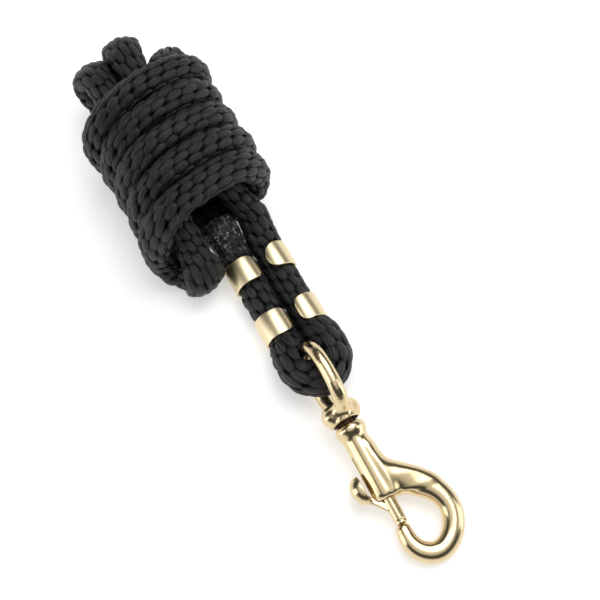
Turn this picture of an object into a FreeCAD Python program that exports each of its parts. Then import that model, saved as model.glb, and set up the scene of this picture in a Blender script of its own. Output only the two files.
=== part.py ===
import FreeCAD, Part
import math
import os

# Hanked lead rope with a swivel-eye bolt snap.  All lengths in millimetres, angles in degrees.
# X runs along the object from the hank to the hook, Z is up and the table is z = 0.
# Left is -Y and right is +Y, as seen from the hook.  The hank is the far end.
# The finished object has its bottom centre at the origin; the pieces are laid out
# in a frame of their own and shifted there when they are written.

os.makedirs("parts", exist_ok=True)
Vector = FreeCAD.Vector
ORIGIN = Vector(0, 0, 0)
X_AXIS = Vector(1, 0, 0)
SHIFT = Vector(9.132, 19.642, 0)   # from the layout to the finished place


# ------------------------------------------------------------ shared helpers
def signed_power(value, power):
    return math.copysign(abs(value) ** power, value)


def ball(radius, centre):
    return Part.makeSphere(radius, Vector(*centre))


def axial_cylinder(radius, start, end):
    """A cylinder on the X axis between two stations."""
    return Part.makeCylinder(radius, end - start, Vector(start, 0, 0), X_AXIS)


def spline_through(points, closed=False):
    curve = Part.BSplineCurve()
    if closed:
        curve.interpolate(Points=points, PeriodicFlag=True)
    else:
        curve.interpolate(Points=points)
    return curve


def revolve_profile(curve, corners):
    """Revolve a smooth (x, radius) curve, closed by straight lines through the corners."""
    spline = spline_through([Vector(x, radius, 0) for x, radius in curve])
    stops = [Vector(x, radius, 0) for x, radius in [curve[-1]] + corners + [curve[0]]]
    lines = [Part.makeLine(start, end) for start, end in zip(stops, stops[1:])]
    return Part.Face(Part.Wire([spline.toShape()] + lines)).revolve(ORIGIN, X_AXIS, 360)


# ---------------------------------------------------------------- rope solid
TUBE_STEP = 3.0          # longest spacing of the sections along the rope
TUBE_SIDES = 16          # control points round a section


def carry_frame(across, points, tangents, i):
    """Carry the cross direction from section i - 1 to i without twist, by two reflections."""
    chord = points[i] - points[i - 1]
    scale = 2.0 / chord.dot(chord)
    across = across - chord * (scale * chord.dot(across))
    mirrored = tangents[i - 1] - chord * (scale * chord.dot(tangents[i - 1]))
    turn = tangents[i] - mirrored
    turn_squared = turn.dot(turn)
    if turn_squared > 1e-12:   # no second reflection where the directions already agree
        across = across - turn * (2.0 / turn_squared * turn.dot(across))
    across = across - tangents[i] * across.dot(tangents[i])
    across.normalize()
    return across


def rope_tube(path, radius):
    """A round solid along a smooth curve through the path, with flat ends."""
    curve = spline_through([Vector(*point) for point in path])
    count = int(curve.length() / TUBE_STEP) + 1
    points = curve.discretize(Number=count)
    tangents = [Vector(*curve.tangent(curve.parameter(point))[0]) for point in points]
    # the control ring lies a little outside the circle it makes
    hull = radius * 3.0 / (2.0 + math.cos(2 * math.pi / TUBE_SIDES))
    angles = [2 * math.pi * j / TUBE_SIDES for j in range(TUBE_SIDES)]
    across = tangents[0].cross(Vector(0, 0, 1))
    across.normalize()
    grid = []
    for i in range(count):
        if i:
            across = carry_frame(across, points, tangents, i)
        other = tangents[i].cross(across)
        grid.append([points[i] + across * (hull * math.cos(angle))
                     + other * (hull * math.sin(angle)) for angle in angles])
    # one lengthwise curve through each control point, joined into a surface
    columns = []
    for j in range(TUBE_SIDES):
        column = Part.BSplineCurve()
        column.interpolate(Points=[row[j] for row in grid],
                           Parameters=[float(i) for i in range(count)])
        columns.append(column)
    poles = [[column.getPole(i) for column in columns]
             for i in range(1, columns[0].NbPoles + 1)]
    surface = Part.BSplineSurface()
    surface.buildFromPolesMultsKnots(
        poles, columns[0].getMultiplicities(), [1] * (TUBE_SIDES + 1),
        columns[0].getKnots(), [float(j) for j in range(TUBE_SIDES + 1)],
        False, True, 3, 3)
    side = surface.toShape()
    # the end circles are the short closed edges; the seam is long
    ends = [Part.Face(Part.Wire([edge])) for edge in side.Edges
            if edge.isClosed() and edge.Length < 3 * math.pi * radius]
    shell = Part.makeShell([side] + ends)
    shell.sewShape()
    solid = Part.makeSolid(shell)
    if solid.Volume < 0:
        solid.reverse()
    return solid


# ---------------------------------------------------------------- rope, hank
HANK_R = 6.0             # radius of the hank's rope, a little thinner than the braid
HANK_CY, HANK_CZ = -19.9, 28.42   # centre of the wraps
WRAP_HALF_W = 28.9       # half width of a wrap's centre line
WRAP_HALF_H = 22.2       # half height of a wrap's centre line
WRAP_SQUARENESS = 2.35   # superellipse exponent, 2 is an ellipse
WRAP_TOP_X = -54.5       # where the first wrap crosses the top
WRAP_PITCH = 14.25       # advance per turn
WRAP_LEAN = 2.3          # lean of the turns towards the hook at the left and underneath
WRAP_START = 165.0       # angle from the right side, over the top, to the first wrap's start
WRAP_END = 90.0 - 4 * 360.0 - 105.0
WRAP_STEP = 30.0         # angle between points

# (x, y, z) along the rope, up to the first wrap
HANK_INSIDE = [
    # in from the neck, along the middle of the bundle
    (-52.4, -3.4, 22.9), (-57, -4.6, 26.6), (-64, -7.8, 31.0), (-73, -13.4, 35.2),
    (-84, -17.6, 36.4), (-100, -18.8, 36.4), (-116, -17.8, 36.9), (-128, -17.0, 37.8),
    # loop at the far end, right, and back
    (-136.4, -16.8, 38.0), (-142.8, -16.8, 35.3), (-145.4, -16.8, 29.0),
    (-142.8, -16.9, 22.7), (-136.4, -17.2, 20.0), (-128, -18.0, 20.2),
    (-116, -19.2, 21.4), (-100, -19.8, 22.4), (-84, -19.9, 22.4), (-75, -19.9, 22.4),
    # turn inside the bundle
    (-70.2, -19.95, 22.4), (-65.5, -21.9, 22.4), (-63.5, -26.55, 22.4),
    (-65.5, -31.2, 22.4), (-70.2, -33.15, 22.4), (-75, -33.2, 22.4), (-84, -33.2, 22.4),
    (-100, -33.1, 22.4), (-111, -33.3, 21.6), (-122, -35.4, 18.4),
    # loop at the far end, left, and back
    (-133.7, -35.8, 17.0), (-139.7, -35.7, 19.5), (-142.2, -35.7, 25.5),
    (-139.7, -35.7, 31.5), (-133.7, -35.6, 34.0), (-122, -34.8, 34.8),
    (-112, -33.2, 35.0), (-100, -33.0, 35.2), (-84, -33.0, 35.2), (-68, -33.4, 35.0),
    (-56, -34.2, 31.4),
    # loop at the near end, turning under to start the wraps
    (-46, -34.8, 24.6), (-38.6, -35.0, 21.0), (-33.3, -35.1, 18.9), (-31.2, -35.3, 14.0),
    (-33.3, -35.9, 8.9), (-38.4, -37.9, 6.8), (-43.0, -42.6, 8.6), (-46.2, -46.8, 14.6),
]
# (x, y, z) off the last wrap low on the right, round behind it and back inside
HANK_TAIL = [
    (-116.8, 7.6, 14.6), (-120.8, 6.2, 9.8), (-126.3, 4.8, 9.0), (-131.0, 3.8, 12.6),
    (-133.0, 3.2, 19.0), (-132.2, 2.4, 25.8), (-128.6, 0.8, 31.0), (-122.4, -1.8, 32.4),
    (-112, -5.0, 30.6), (-98, -6.4, 28.5),
]


def wrap_points():
    """The squarish helix of wraps round the bundle, advancing away from the hook."""
    points = []
    count = int(round((WRAP_START - WRAP_END) / WRAP_STEP))
    power = 2 / WRAP_SQUARENESS
    for i in range(count + 1):
        angle = math.radians(WRAP_START + (WRAP_END - WRAP_START) * i / count)
        cosine, sine = math.cos(angle), math.sin(angle)
        advance = WRAP_PITCH * (math.pi / 2 - angle) / (2 * math.pi)
        points.append((WRAP_TOP_X - advance + WRAP_LEAN * (1 - sine - cosine),
                       HANK_CY + WRAP_HALF_W * signed_power(cosine, power),
                       HANK_CZ + WRAP_HALF_H * signed_power(sine, power)))
    return points


def make_rope_hank():
    return rope_tube(HANK_INSIDE + wrap_points() + HANK_TAIL, HANK_R)


# ------------------------------------------- rope, eye, and its two clamps
CLAMP_X = (-22.9, 6.3)   # middles of the two clamps
CLAMP_W = 12.7           # strip width
CLAMP_T = 1.3            # strip thickness
CLAMP_INNER_R = 7.15     # inside radius round each rope leg
CLAMP_OUTER_R = CLAMP_INNER_R + CLAMP_T
LEFT_Y, RIGHT_Y = -15.3, -1.0    # centres of the two rope legs in the clamps
LEG_Z = CLAMP_OUTER_R    # the clamps rest on the table
LEFT_TIP = 36.0          # angle at which the left tongue ends
RIGHT_TIP = 117.0        # angle at which the right tongue ends
TONGUE_DEPTH = 5.2       # depth of the rounded tongue end
TONGUE_MARGIN = 1.0      # overhang of the trimming block past the strip
TRIM_RISE = 2.5          # bottom of the trimming block above the leg centres
TRIM_H = 14.0

EYE_R = 5.7              # radius of the eye's rope
NECK = (-46.5, -2.2, 18.4)       # where the eye's right leg ends, by the hank
NECK_BALL_R = EYE_R + 0.15

# (x, y, z) along the rope: out along the left leg, round the eye, back along the right leg
EYE_PATH = [
    (-51.0, -17.2, 19.4), (-46.5, -16.9, 17.6), (-40.5, -16.3, 13.6), (-34.5, -15.7, 9.9),
    (-28.5, LEFT_Y - 0.05, LEG_Z + 0.1), (-21, LEFT_Y, LEG_Z), (-10, LEFT_Y, LEG_Z),
    (3, LEFT_Y, LEG_Z), (9.5, LEFT_Y, LEG_Z), (14.0, -16.1, 8.9), (18.2, -18.7, 10.7),
    (22.5, -20.9, 12.5), (28, -21.5, 13.8), (33.4, -19.9, 14.3), (37.6, -16.6, 14.3),
    (40.0, -12.6, 14.3), (40.6, -8.4, 14.3), (39.3, -4.2, 14.3), (36.0, -0.6, 14.3),
    (31, 1.8, 14.2), (25.5, 2.1, 13.2), (18.5, 1.0, 11.0), (12.5, -0.5, 8.8),
    (3, RIGHT_Y, LEG_Z), (-10, RIGHT_Y, LEG_Z), (-21, RIGHT_Y, LEG_Z),
    (-28.5, -0.8, LEG_Z + 0.1), (-34.5, -0.4, 10.3), (-40.0, -0.7, 13.9), NECK,
]


def make_rope_eye():
    return rope_tube(EYE_PATH, EYE_R).fuse(ball(NECK_BALL_R, NECK)).removeSplitter()


def leg_point(centre_y, radius, angle):
    turn = math.radians(angle)
    return Vector(0, centre_y + radius * math.cos(turn), LEG_Z + radius * math.sin(turn))


def make_clamp(middle_x):
    """A strip bent under both legs and up over each, ending in rounded tongues."""
    # (leg centre, radius, start angle, end angle)
    arcs = [[leg_point(centre_y, radius, angle)
             for angle in (start, (start + end) / 2.0, end)]
            for centre_y, radius, start, end in (
                (LEFT_Y, CLAMP_OUTER_R, LEFT_TIP, 270.0),
                (RIGHT_Y, CLAMP_OUTER_R, -90.0, RIGHT_TIP),
                (RIGHT_Y, CLAMP_INNER_R, RIGHT_TIP, -90.0),
                (LEFT_Y, CLAMP_INNER_R, 270.0, LEFT_TIP))]
    edges = []
    for arc, following in zip(arcs, arcs[1:] + arcs[:1]):
        edges += [Part.Arc(*arc).toShape(), Part.makeLine(arc[2], following[0])]
    solid = Part.Face(Part.Wire(edges)).extrude(Vector(CLAMP_W, 0, 0))
    solid.translate(Vector(middle_x - CLAMP_W / 2.0, 0, 0))
    # rounded tongue ends, cut straight down
    for leg_y, tip_angle, sign in ((LEFT_Y, LEFT_TIP, 1), (RIGHT_Y, RIGHT_TIP, -1)):
        tip_y = leg_point(leg_y, CLAMP_OUTER_R, tip_angle).y
        centre_y = tip_y - sign * TONGUE_DEPTH
        block = Part.makeBox(CLAMP_W + 2 * TONGUE_MARGIN, TONGUE_DEPTH + TONGUE_MARGIN, TRIM_H,
                             Vector(middle_x - CLAMP_W / 2.0 - TONGUE_MARGIN,
                                    min(centre_y, tip_y + sign * TONGUE_MARGIN),
                                    LEG_Z + TRIM_RISE))
        ellipse = Part.Ellipse(Vector(middle_x, centre_y, LEG_Z), CLAMP_W / 2.0, TONGUE_DEPTH)
        plug = Part.Face(Part.Wire([ellipse.toShape()])).extrude(Vector(0, 0, 30))
        solid = solid.cut(block.cut(plug))
    return solid


# ---------------------------------------------------------------- snap frame
# The swivel eye, body, bolt and spring are made with the snap's axis on X.
SNAP_ORIGIN = Vector(62.2, -10.9, 13.53)
TILT = 7.71              # the axis drops towards the hook


def place_snap(shape):
    """From the snap's own frame to the layout."""
    placed = shape.copy()
    placed.rotate(ORIGIN, Vector(0, 1, 0), TILT)
    placed.translate(SNAP_ORIGIN)
    return placed


# ---------------------------------------------------------------- swivel eye
ROLL = 7.0               # the ring leans about the snap axis
RING_WIRE_R = 3.3
RING_HALF_L = 15.4       # half length of the ring's centre line
RING_HALF_H = 13.0       # half height of the ring's centre line
RING_SQUARENESS = 2.5    # superellipse exponent
RING_X = -21.7           # ring centre
RING_POINTS = 24
RING_SPANS = 4           # lengths the ring's centre line is split into
RIM_X = -0.75            # open face of the boss
# (x, radius) along the outside of the boss, up to its rim
BOSS_CURVE = [(-10.5, 2.2), (-9.7, 4.6), (-7.7, 6.2), (-5.1, 6.5), (-2.6, 6.5), (RIM_X, 6.35)]
BOSS_HALF_W = 9.25
LOBE_R = 4.9             # balls that widen the boss to both sides
LOBE_X = -5.35
SOCKET_R = 4.95          # room for the stud's head
SOCKET_START, SOCKET_END = -8.6, -4.45
NECK_HOLE_R = 3.30
NECK_HOLE_L = 3.5        # length past the socket
MOUTH_R = 6.0            # wide end of the cone at the rim
MOUTH_DEPTH = 1.85


def make_ring():
    """A round wire swept along a squarish loop in the XZ plane."""
    power = 2 / RING_SQUARENESS
    angles = [2 * math.pi * i / RING_POINTS for i in range(RING_POINTS)]
    curve = spline_through(
        [Vector(RING_X + RING_HALF_L * signed_power(math.cos(angle), power), 0,
                RING_HALF_H * signed_power(math.sin(angle), power)) for angle in angles],
        closed=True)
    first, last = curve.FirstParameter, curve.LastParameter
    edges = []
    for i in range(RING_SPANS):
        span = curve.copy()
        span.segment(first + (last - first) * i / RING_SPANS,
                     first + (last - first) * (i + 1) / RING_SPANS)
        edges.append(span.toShape())
    start = edges[0].valueAt(edges[0].FirstParameter)
    direction = edges[0].tangentAt(edges[0].FirstParameter)
    section = Part.Wire([Part.makeCircle(RING_WIRE_R, start, direction)])
    return Part.Wire(edges).makePipeShell([section], True, False)


def make_swivel_eye():
    boss = revolve_profile(BOSS_CURVE, [(RIM_X, 0), (BOSS_CURVE[0][0], 0)])
    lobe_y = BOSS_HALF_W - LOBE_R
    swivel = boss.fuse([ball(LOBE_R, (LOBE_X, lobe_y, 0)),
                        ball(LOBE_R, (LOBE_X, -lobe_y, 0)), make_ring()])
    # flat rim, then the socket, neck hole and conical mouth; 0.1 and 0.05 are overlaps
    swivel = swivel.cut(Part.makeBox(4, 24, 24, Vector(RIM_X, -12, -12)))
    swivel = swivel.cut(axial_cylinder(SOCKET_R, SOCKET_START, SOCKET_END))
    swivel = swivel.cut(axial_cylinder(NECK_HOLE_R, SOCKET_END - 0.1, SOCKET_END + NECK_HOLE_L))
    swivel = swivel.cut(Part.makeCone(NECK_HOLE_R, MOUTH_R, MOUTH_DEPTH + 0.05,
                                      Vector(RIM_X - MOUTH_DEPTH, 0, 0), X_AXIS))
    swivel.rotate(ORIGIN, X_AXIS, -ROLL)
    # drop any loose sliver the cuts leave
    if len(swivel.Solids) > 1:
        swivel = max(swivel.Solids, key=lambda solid: solid.Volume)
    return swivel


# ----------------------------------------------------------------- snap body
COLLAR_X = 1.1           # face of the collar
COLLAR_R = 7.15
BARREL_R = 5.95
BARREL_END = 36.9
STUD_R = 3.22
HEAD_START, HEAD_END = -8.2, -4.75
HEAD_R = 4.60
BORE_R = 2.87
BORE_START = 11.0
BORE_OVERRUN = 1.2       # past the end of the barrel
SLOT_START = 14.5        # the slot opens the bore to the left
SLOT_L, SLOT_DEPTH = 26.0, 8.5
SLOT_HALF_W = 1.65
HOOK_END_X = 49.45       # flat end of the hook, facing the bolt
HOOK_END_BALL_R = 2.9

# (x, radius) along the outside of the collar and barrel
BODY_CURVE = [
    (COLLAR_X, 5.0), (COLLAR_X + 0.7, 6.4), (3.35, COLLAR_R), (5.2, 6.7), (6.9, 6.02),
    (9.5, 5.85), (20, BARREL_R), (33.5, BARREL_R + 0.1), (35.8, 5.6), (BARREL_END, 4.4),
]
# (x, radius) from the barrel's end along the axis, then round the stud's head to the collar
STUD_CORNERS = [
    (BARREL_END, 0), (HEAD_START, 0), (HEAD_START, HEAD_R - 1.2), (HEAD_START + 1.0, HEAD_R),
    (HEAD_END - 0.5, HEAD_R), (HEAD_END, HEAD_R - 0.4), (HEAD_END, STUD_R),
    (COLLAR_X, STUD_R),
]
# hook sections along its centre line: (x, y, half width, half thickness, heading)
HOOK = [
    (22.0, -0.2, 4.6, 4.8, 12.0),
    (26.5, 2.9, 5.9, 5.2, 38.0),
    (31.0, 8.6, 6.6, 5.1, 50.0),
    (36.8, 15.0, 6.3, 4.9, 43.0),
    (43.4, 20.0, 5.3, 4.6, 27.0),
    (51.6, 22.03, 4.9, 4.5, 0.0),
    (59.9, 19.3, 4.9, 4.5, -38.0),
    (65.1, 13.7, 4.9, 4.5, -66.0),
    (66.6, 8.4, 4.9, 4.5, -90.0),
    (64.2, 2.7, 4.75, 4.45, -134.0),
    (59.5, -0.45, 4.35, 4.3, -164.0),
    (54.9, -1.05, 3.9, 4.0, -180.0),
    (51.6, -0.85, 3.35, 3.5, -184.0),
    (50.1, -0.75, 2.5, 2.7, -184.0),
]
HOOK_POWER = 0.92        # below 1 squares the oval sections slightly
HOOK_SIDES = 16


def hook_section(x, y, half_width, half_thickness, heading):
    turn = math.radians(heading)
    across = Vector(-math.sin(turn), math.cos(turn), 0)   # in the hook's plane
    points = []
    for i in range(HOOK_SIDES):
        angle = 2 * math.pi * i / HOOK_SIDES
        points.append(Vector(x, y, 0)
                      + across * (half_width * signed_power(math.cos(angle), HOOK_POWER))
                      + Vector(0, 0, half_thickness * signed_power(math.sin(angle), HOOK_POWER)))
    return Part.Wire([spline_through(points, closed=True).toShape()])


def make_snap_body():
    body = revolve_profile(BODY_CURVE, STUD_CORNERS)
    hook = Part.makeLoft([hook_section(*station) for station in HOOK], True, False)
    end_x, end_y = HOOK[-1][:2]
    end_ball = ball(HOOK_END_BALL_R, (end_x + 2.2, end_y - 0.02, 0))
    end_cut = Part.makeBox(4, 12, 12, Vector(HOOK_END_X - 4, -7, -6))
    body = body.fuse(hook.fuse(end_ball).cut(end_cut))
    body = body.cut(axial_cylinder(BORE_R, BORE_START, BARREL_END + BORE_OVERRUN))
    return body.cut(Part.makeBox(SLOT_L, SLOT_DEPTH, 2 * SLOT_HALF_W,
                                 Vector(SLOT_START, -SLOT_DEPTH, -SLOT_HALF_W)))


# ---------------------------------------------------------------------- bolt
BOLT_R = 2.80
BOLT_REAR, BOLT_TIP = 31.0, 49.20
BOLT_FILLET = 0.7
ARM_HALF_T = 1.55
# (x, y) outline of the arm from the pin to the thumb piece
ARM_OUTLINE = [
    (42.2, -1.8), (38.6, -1.8), (34.4, -5.9), (31.2, -8.4), (32.0, -11.0),
    (36.0, -9.3), (39.0, -5.9), (42.2, -2.7), (42.2, -1.8),
]
THUMB_HALF_SIZE = Vector(7.3, 2.95, 4.6)
THUMB_CENTRE = Vector(29.8, -10.15, 0)
THUMB_TURN = -3.0        # about Z


def make_bolt():
    pin = axial_cylinder(BOLT_R, BOLT_REAR, BOLT_TIP)
    # round both end circles
    pin = pin.makeFillet(BOLT_FILLET, [edge for edge in pin.Edges
                                       if abs(edge.BoundBox.XMin - edge.BoundBox.XMax) < 1e-6])
    outline = Part.makePolygon([Vector(x, y, 0) for x, y in ARM_OUTLINE])
    arm = Part.Face(outline).extrude(Vector(0, 0, 2 * ARM_HALF_T))
    arm.translate(Vector(0, 0, -ARM_HALF_T))
    stretch = FreeCAD.Matrix()
    stretch.scale(THUMB_HALF_SIZE)
    thumb = ball(1.0, (0, 0, 0)).transformGeometry(stretch)
    thumb.rotate(ORIGIN, Vector(0, 0, 1), THUMB_TURN)
    thumb.translate(THUMB_CENTRE)
    return pin.fuse([arm, thumb]).removeSplitter()


# -------------------------------------------------------------------- spring
SPRING_R = 2.30          # of the coil's centre line
SPRING_WIRE_R = 0.30
SPRING_TURNS = 9
SPRING_GAP = 0.2         # clear of the bore's end and of the bolt


def make_spring():
    inset = SPRING_GAP + SPRING_WIRE_R
    height = BOLT_REAR - BORE_START - 2 * inset
    helix = Part.makeHelix(height / SPRING_TURNS, height, SPRING_R)
    section = Part.Wire([Part.makeCircle(SPRING_WIRE_R, Vector(SPRING_R, 0, 0),
                                         Vector(0, 1, 0))])
    spring = Part.Wire(helix.Edges).makePipeShell([section], True, True)
    spring.rotate(ORIGIN, Vector(0, 1, 0), 90)
    spring.translate(Vector(BORE_START + inset, 0, 0))
    return spring


# --------------------------------------------------------------------- write
def write_piece(name, shape):
    piece = shape.copy()
    piece.translate(SHIFT)
    if piece.ShapeType == "Compound" and len(piece.Solids) == 1:
        piece = piece.Solids[0]
    piece.exportStep("parts/%s.step" % name)


write_piece("rope_hank", make_rope_hank())
write_piece("rope_eye", make_rope_eye())
for number, middle_x in enumerate(CLAMP_X, 1):
    write_piece("rope_clamp_%d" % number, make_clamp(middle_x))
write_piece("swivel_eye", place_snap(make_swivel_eye()))
write_piece("snap_body", place_snap(make_snap_body()))
write_piece("bolt", place_snap(make_bolt()))
write_piece("spring", place_snap(make_spring()))
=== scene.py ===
"""A hank of black braided rope with a brass bolt snap on a swivel eye.

The layout is in millimetres and lies on the table, z = 0. The hank is at -X and its wraps stack
along X. Two rope legs run from it towards +X, through two brass clamps, and close into an eye.
The snap hangs in that eye and points to +X. SHIFT moves the layout to the product's frame.
"""

import math
from itertools import product

import bpy
import numpy as np
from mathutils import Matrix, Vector


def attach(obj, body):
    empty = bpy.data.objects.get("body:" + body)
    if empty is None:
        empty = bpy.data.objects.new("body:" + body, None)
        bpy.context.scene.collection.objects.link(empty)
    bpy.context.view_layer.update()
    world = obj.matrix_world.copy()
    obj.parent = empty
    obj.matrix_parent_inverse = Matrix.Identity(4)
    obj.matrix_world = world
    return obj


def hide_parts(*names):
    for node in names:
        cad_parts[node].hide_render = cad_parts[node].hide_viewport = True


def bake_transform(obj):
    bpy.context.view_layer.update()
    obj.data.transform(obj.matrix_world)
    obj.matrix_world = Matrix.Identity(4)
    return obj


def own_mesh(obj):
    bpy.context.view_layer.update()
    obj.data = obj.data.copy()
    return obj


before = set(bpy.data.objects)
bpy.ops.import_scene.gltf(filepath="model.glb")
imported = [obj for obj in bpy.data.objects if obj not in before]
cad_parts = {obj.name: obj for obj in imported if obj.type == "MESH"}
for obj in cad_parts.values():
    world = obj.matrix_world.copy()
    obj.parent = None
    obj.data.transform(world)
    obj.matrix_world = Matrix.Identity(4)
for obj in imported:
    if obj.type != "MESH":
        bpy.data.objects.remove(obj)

MM = 0.001
SHIFT = np.array([9.132, 19.642, 0.0])
rng = np.random.RandomState(11)


# ---------------------------------------------------------------------------
# helpers
# ---------------------------------------------------------------------------
def to_frame(points):
    """Layout millimetres to the product's frame in metres."""
    return (np.asarray(points, float) + SHIFT) * MM


def make_mesh(name, vertices, quads, tris=(), attributes=None):
    """A smooth mesh object from layout points; attributes are floats on the points."""
    quads = np.asarray(quads, np.int64)
    tris = np.asarray(tris, np.int64).reshape(-1, 3)
    mesh = bpy.data.meshes.new(name)
    mesh.vertices.add(len(vertices))
    mesh.vertices.foreach_set("co", to_frame(vertices).astype(np.float32).ravel())
    corners = np.concatenate([quads.ravel(), tris.ravel()])
    mesh.loops.add(len(corners))
    mesh.loops.foreach_set("vertex_index", corners.astype(np.int32))
    starts = np.concatenate([np.arange(len(quads)) * 4, quads.size + np.arange(len(tris)) * 3])
    mesh.polygons.add(len(starts))
    mesh.polygons.foreach_set("loop_start", starts.astype(np.int32))
    mesh.polygons.foreach_set("use_smooth", np.full(len(starts), True))
    mesh.update(calc_edges=True)
    mesh.validate()
    for key, values in (attributes or {}).items():
        layer = mesh.attributes.new(key, "FLOAT", "POINT")
        layer.data.foreach_set("value", np.asarray(values, np.float32).ravel())
    ob = bpy.data.objects.new(name, mesh)
    bpy.context.scene.collection.objects.link(ob)
    return ob


def tube_faces(rings, around, flip=False):
    """Quads between rings and a fan at each end; the two end centres follow the rings."""
    here = np.arange(around)
    there = (here + 1) % around
    row = np.arange(rings - 1)[:, None] * around
    quads = np.stack([row + here, row + there, row + around + there, row + around + here], -1)
    quads = quads.reshape(-1, 4)
    last, centre = (rings - 1) * around, rings * around
    tris = np.concatenate([
        np.stack([there, here, np.full(around, centre)], 1),
        np.stack([last + here, last + there, np.full(around, centre + 1)], 1)])
    if flip:
        return quads[:, [0, 3, 2, 1]], tris[:, [1, 0, 2]]
    return quads, tris


def dress(ob, material, slot, *replaced):
    ob.data.materials.append(material)
    for cad_name in replaced:
        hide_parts(cad_name)


def spline(points):
    """Natural cubic spline by chord length: the curve as a function, and its knots."""
    points = np.asarray(points, float)
    chords = np.linalg.norm(np.diff(points, axis=0), axis=1)
    knots = np.concatenate([[0], np.cumsum(chords)])
    count = len(points)
    gap = np.diff(knots)
    matrix = np.zeros((count, count))
    matrix[0, 0] = matrix[-1, -1] = 1
    right = np.zeros(points.shape)
    for i in range(1, count - 1):
        matrix[i, i - 1:i + 2] = gap[i - 1], 2 * (gap[i - 1] + gap[i]), gap[i]
        right[i] = 6 * ((points[i + 1] - points[i]) / gap[i]
                        - (points[i] - points[i - 1]) / gap[i - 1])
    bend = np.linalg.solve(matrix, right)

    def curve(at):
        i = np.clip(np.searchsorted(knots, at, side="right") - 1, 0, count - 2)
        to_next = (knots[i + 1] - at)[:, None]
        from_last = (at - knots[i])[:, None]
        width = gap[i][:, None]
        return ((bend[i] * to_next ** 3 + bend[i + 1] * from_last ** 3) / (6 * width)
                + (points[i] / width - bend[i] * width / 6) * to_next
                + (points[i + 1] / width - bend[i + 1] * width / 6) * from_last)
    return curve, knots


def resample(points, step):
    """Evenly spaced points on the spline, and their distances along it."""
    curve, knots = spline(points)
    fine = curve(np.linspace(0, knots[-1], int(knots[-1] / 0.1) + 2))
    lengths = np.linalg.norm(np.diff(fine, axis=0), axis=1)
    run = np.concatenate([[0], np.cumsum(lengths)])
    at = np.linspace(0, run[-1], int(round(run[-1] / step)) + 1)
    return np.stack([np.interp(at, run, fine[:, k]) for k in range(3)], 1), at


def box_blur(values, width):
    """Running mean along axis 0 with edge padding."""
    kernel = np.ones(width) / width
    before, after = width // 2, width - 1 - width // 2
    padded = np.concatenate([np.repeat(values[:1], before, 0), values,
                             np.repeat(values[-1:], after, 0)])
    return np.apply_along_axis(lambda column: np.convolve(column, kernel, "valid"), 0, padded)


def signed_power(value, power):
    return np.sign(value) * np.abs(value) ** power


def smin(a, b, blend):
    """Smooth minimum; blend is the width of the fillet."""
    mix = np.clip(0.5 + 0.5 * (b - a) / blend, 0, 1)
    return b * (1 - mix) + a * mix - blend * mix * (1 - mix)


def smax(a, b, blend):
    return -smin(-a, -b, blend)


def smoothstep(start, end, value):
    t = np.clip((value - start) / (end - start), 0, 1)
    return t * t * (3 - 2 * t)


def lattice_noise(points, seed, cell):
    """Value noise of 3-D points, range -1 to 1; cell is in the points' unit."""
    scaled = np.asarray(points, float) / cell
    low = np.floor(scaled).astype(np.int64)
    part = scaled - low
    part = part * part * (3 - 2 * part)
    total = 0.0
    for corner in product((0, 1), repeat=3):
        near = low + corner
        mixed = (near[:, 0] * 73856093 ^ near[:, 1] * 19349663 ^ near[:, 2] * 83492791
                 ^ seed * 2654435761)
        mixed = (mixed ^ (mixed >> 13)) * 1274126177
        value = ((mixed ^ (mixed >> 16)) & 0xFFFF) / 32767.5 - 1.0
        total = total + value * np.where(corner, part, 1 - part).prod(axis=1)
    return total


# ---------------------------------------------------------------------------
# the rope's centre line, from the melted end to the tucked tail
# ---------------------------------------------------------------------------
ROPE_R = 7.25                        # over the stitches
MELTED_LEG_Y, RETURN_LEG_Y, LEG_Z = -15.3, -1.0, 8.45
CLAMP_X = (-22.9, 6.3)
CLAMP_WIDTH, CLAMP_THICK, CLAMP_INNER_R = 12.7, 1.3, 7.15

HANK_Y, HANK_Z = -19.9, 28.42        # centre of the wraps
WRAP_HALF_HEIGHT = 21.25
WRAP_POWER = 2.35                    # superellipse exponent of a wrap
WRAP_TOP_X, WRAP_PITCH = -54.5, 14.25
WRAP_LEAN = 2.3
WRAP_START, WRAP_END, WRAP_STEP = 165.0, 90.0 - 4 * 360.0 - 105.0, 22.5   # degrees

# angle in degrees, half width of the wrap there
WRAP_SIDES = np.array([
    (-1560, 27.6), (-1440, 27.9), (-1260, 28.8), (-1080, 26.6), (-900, 26.8), (-720, 27.2),
    (-540, 26.3), (-360, 28.8), (-180, 26.8), (0, 28.2), (165, 27.8)])


def wrap_points():
    """The wraps, wound towards -X, with small unevenness."""
    points = []
    count = int(round((WRAP_START - WRAP_END) / WRAP_STEP))
    for i in range(count + 1):
        degrees = WRAP_START + (WRAP_END - WRAP_START) * i / count
        angle = math.radians(degrees)
        cos, sin = math.cos(angle), math.sin(angle)
        half_width = float(np.interp(degrees, *WRAP_SIDES.T))
        lift = 0.35 * math.sin(1.7 * i) * (sin > 0)
        points.append((
            WRAP_TOP_X - WRAP_PITCH * (math.pi / 2 - angle) / (2 * math.pi)
            + WRAP_LEAN * (1 - sin - cos) + 0.22 * math.sin(2.3 * i + 0.4),
            HANK_Y + half_width * float(signed_power(cos, 2 / WRAP_POWER)),
            HANK_Z + (WRAP_HALF_HEIGHT + lift) * float(signed_power(sin, 2 / WRAP_POWER))))
    return points


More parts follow.
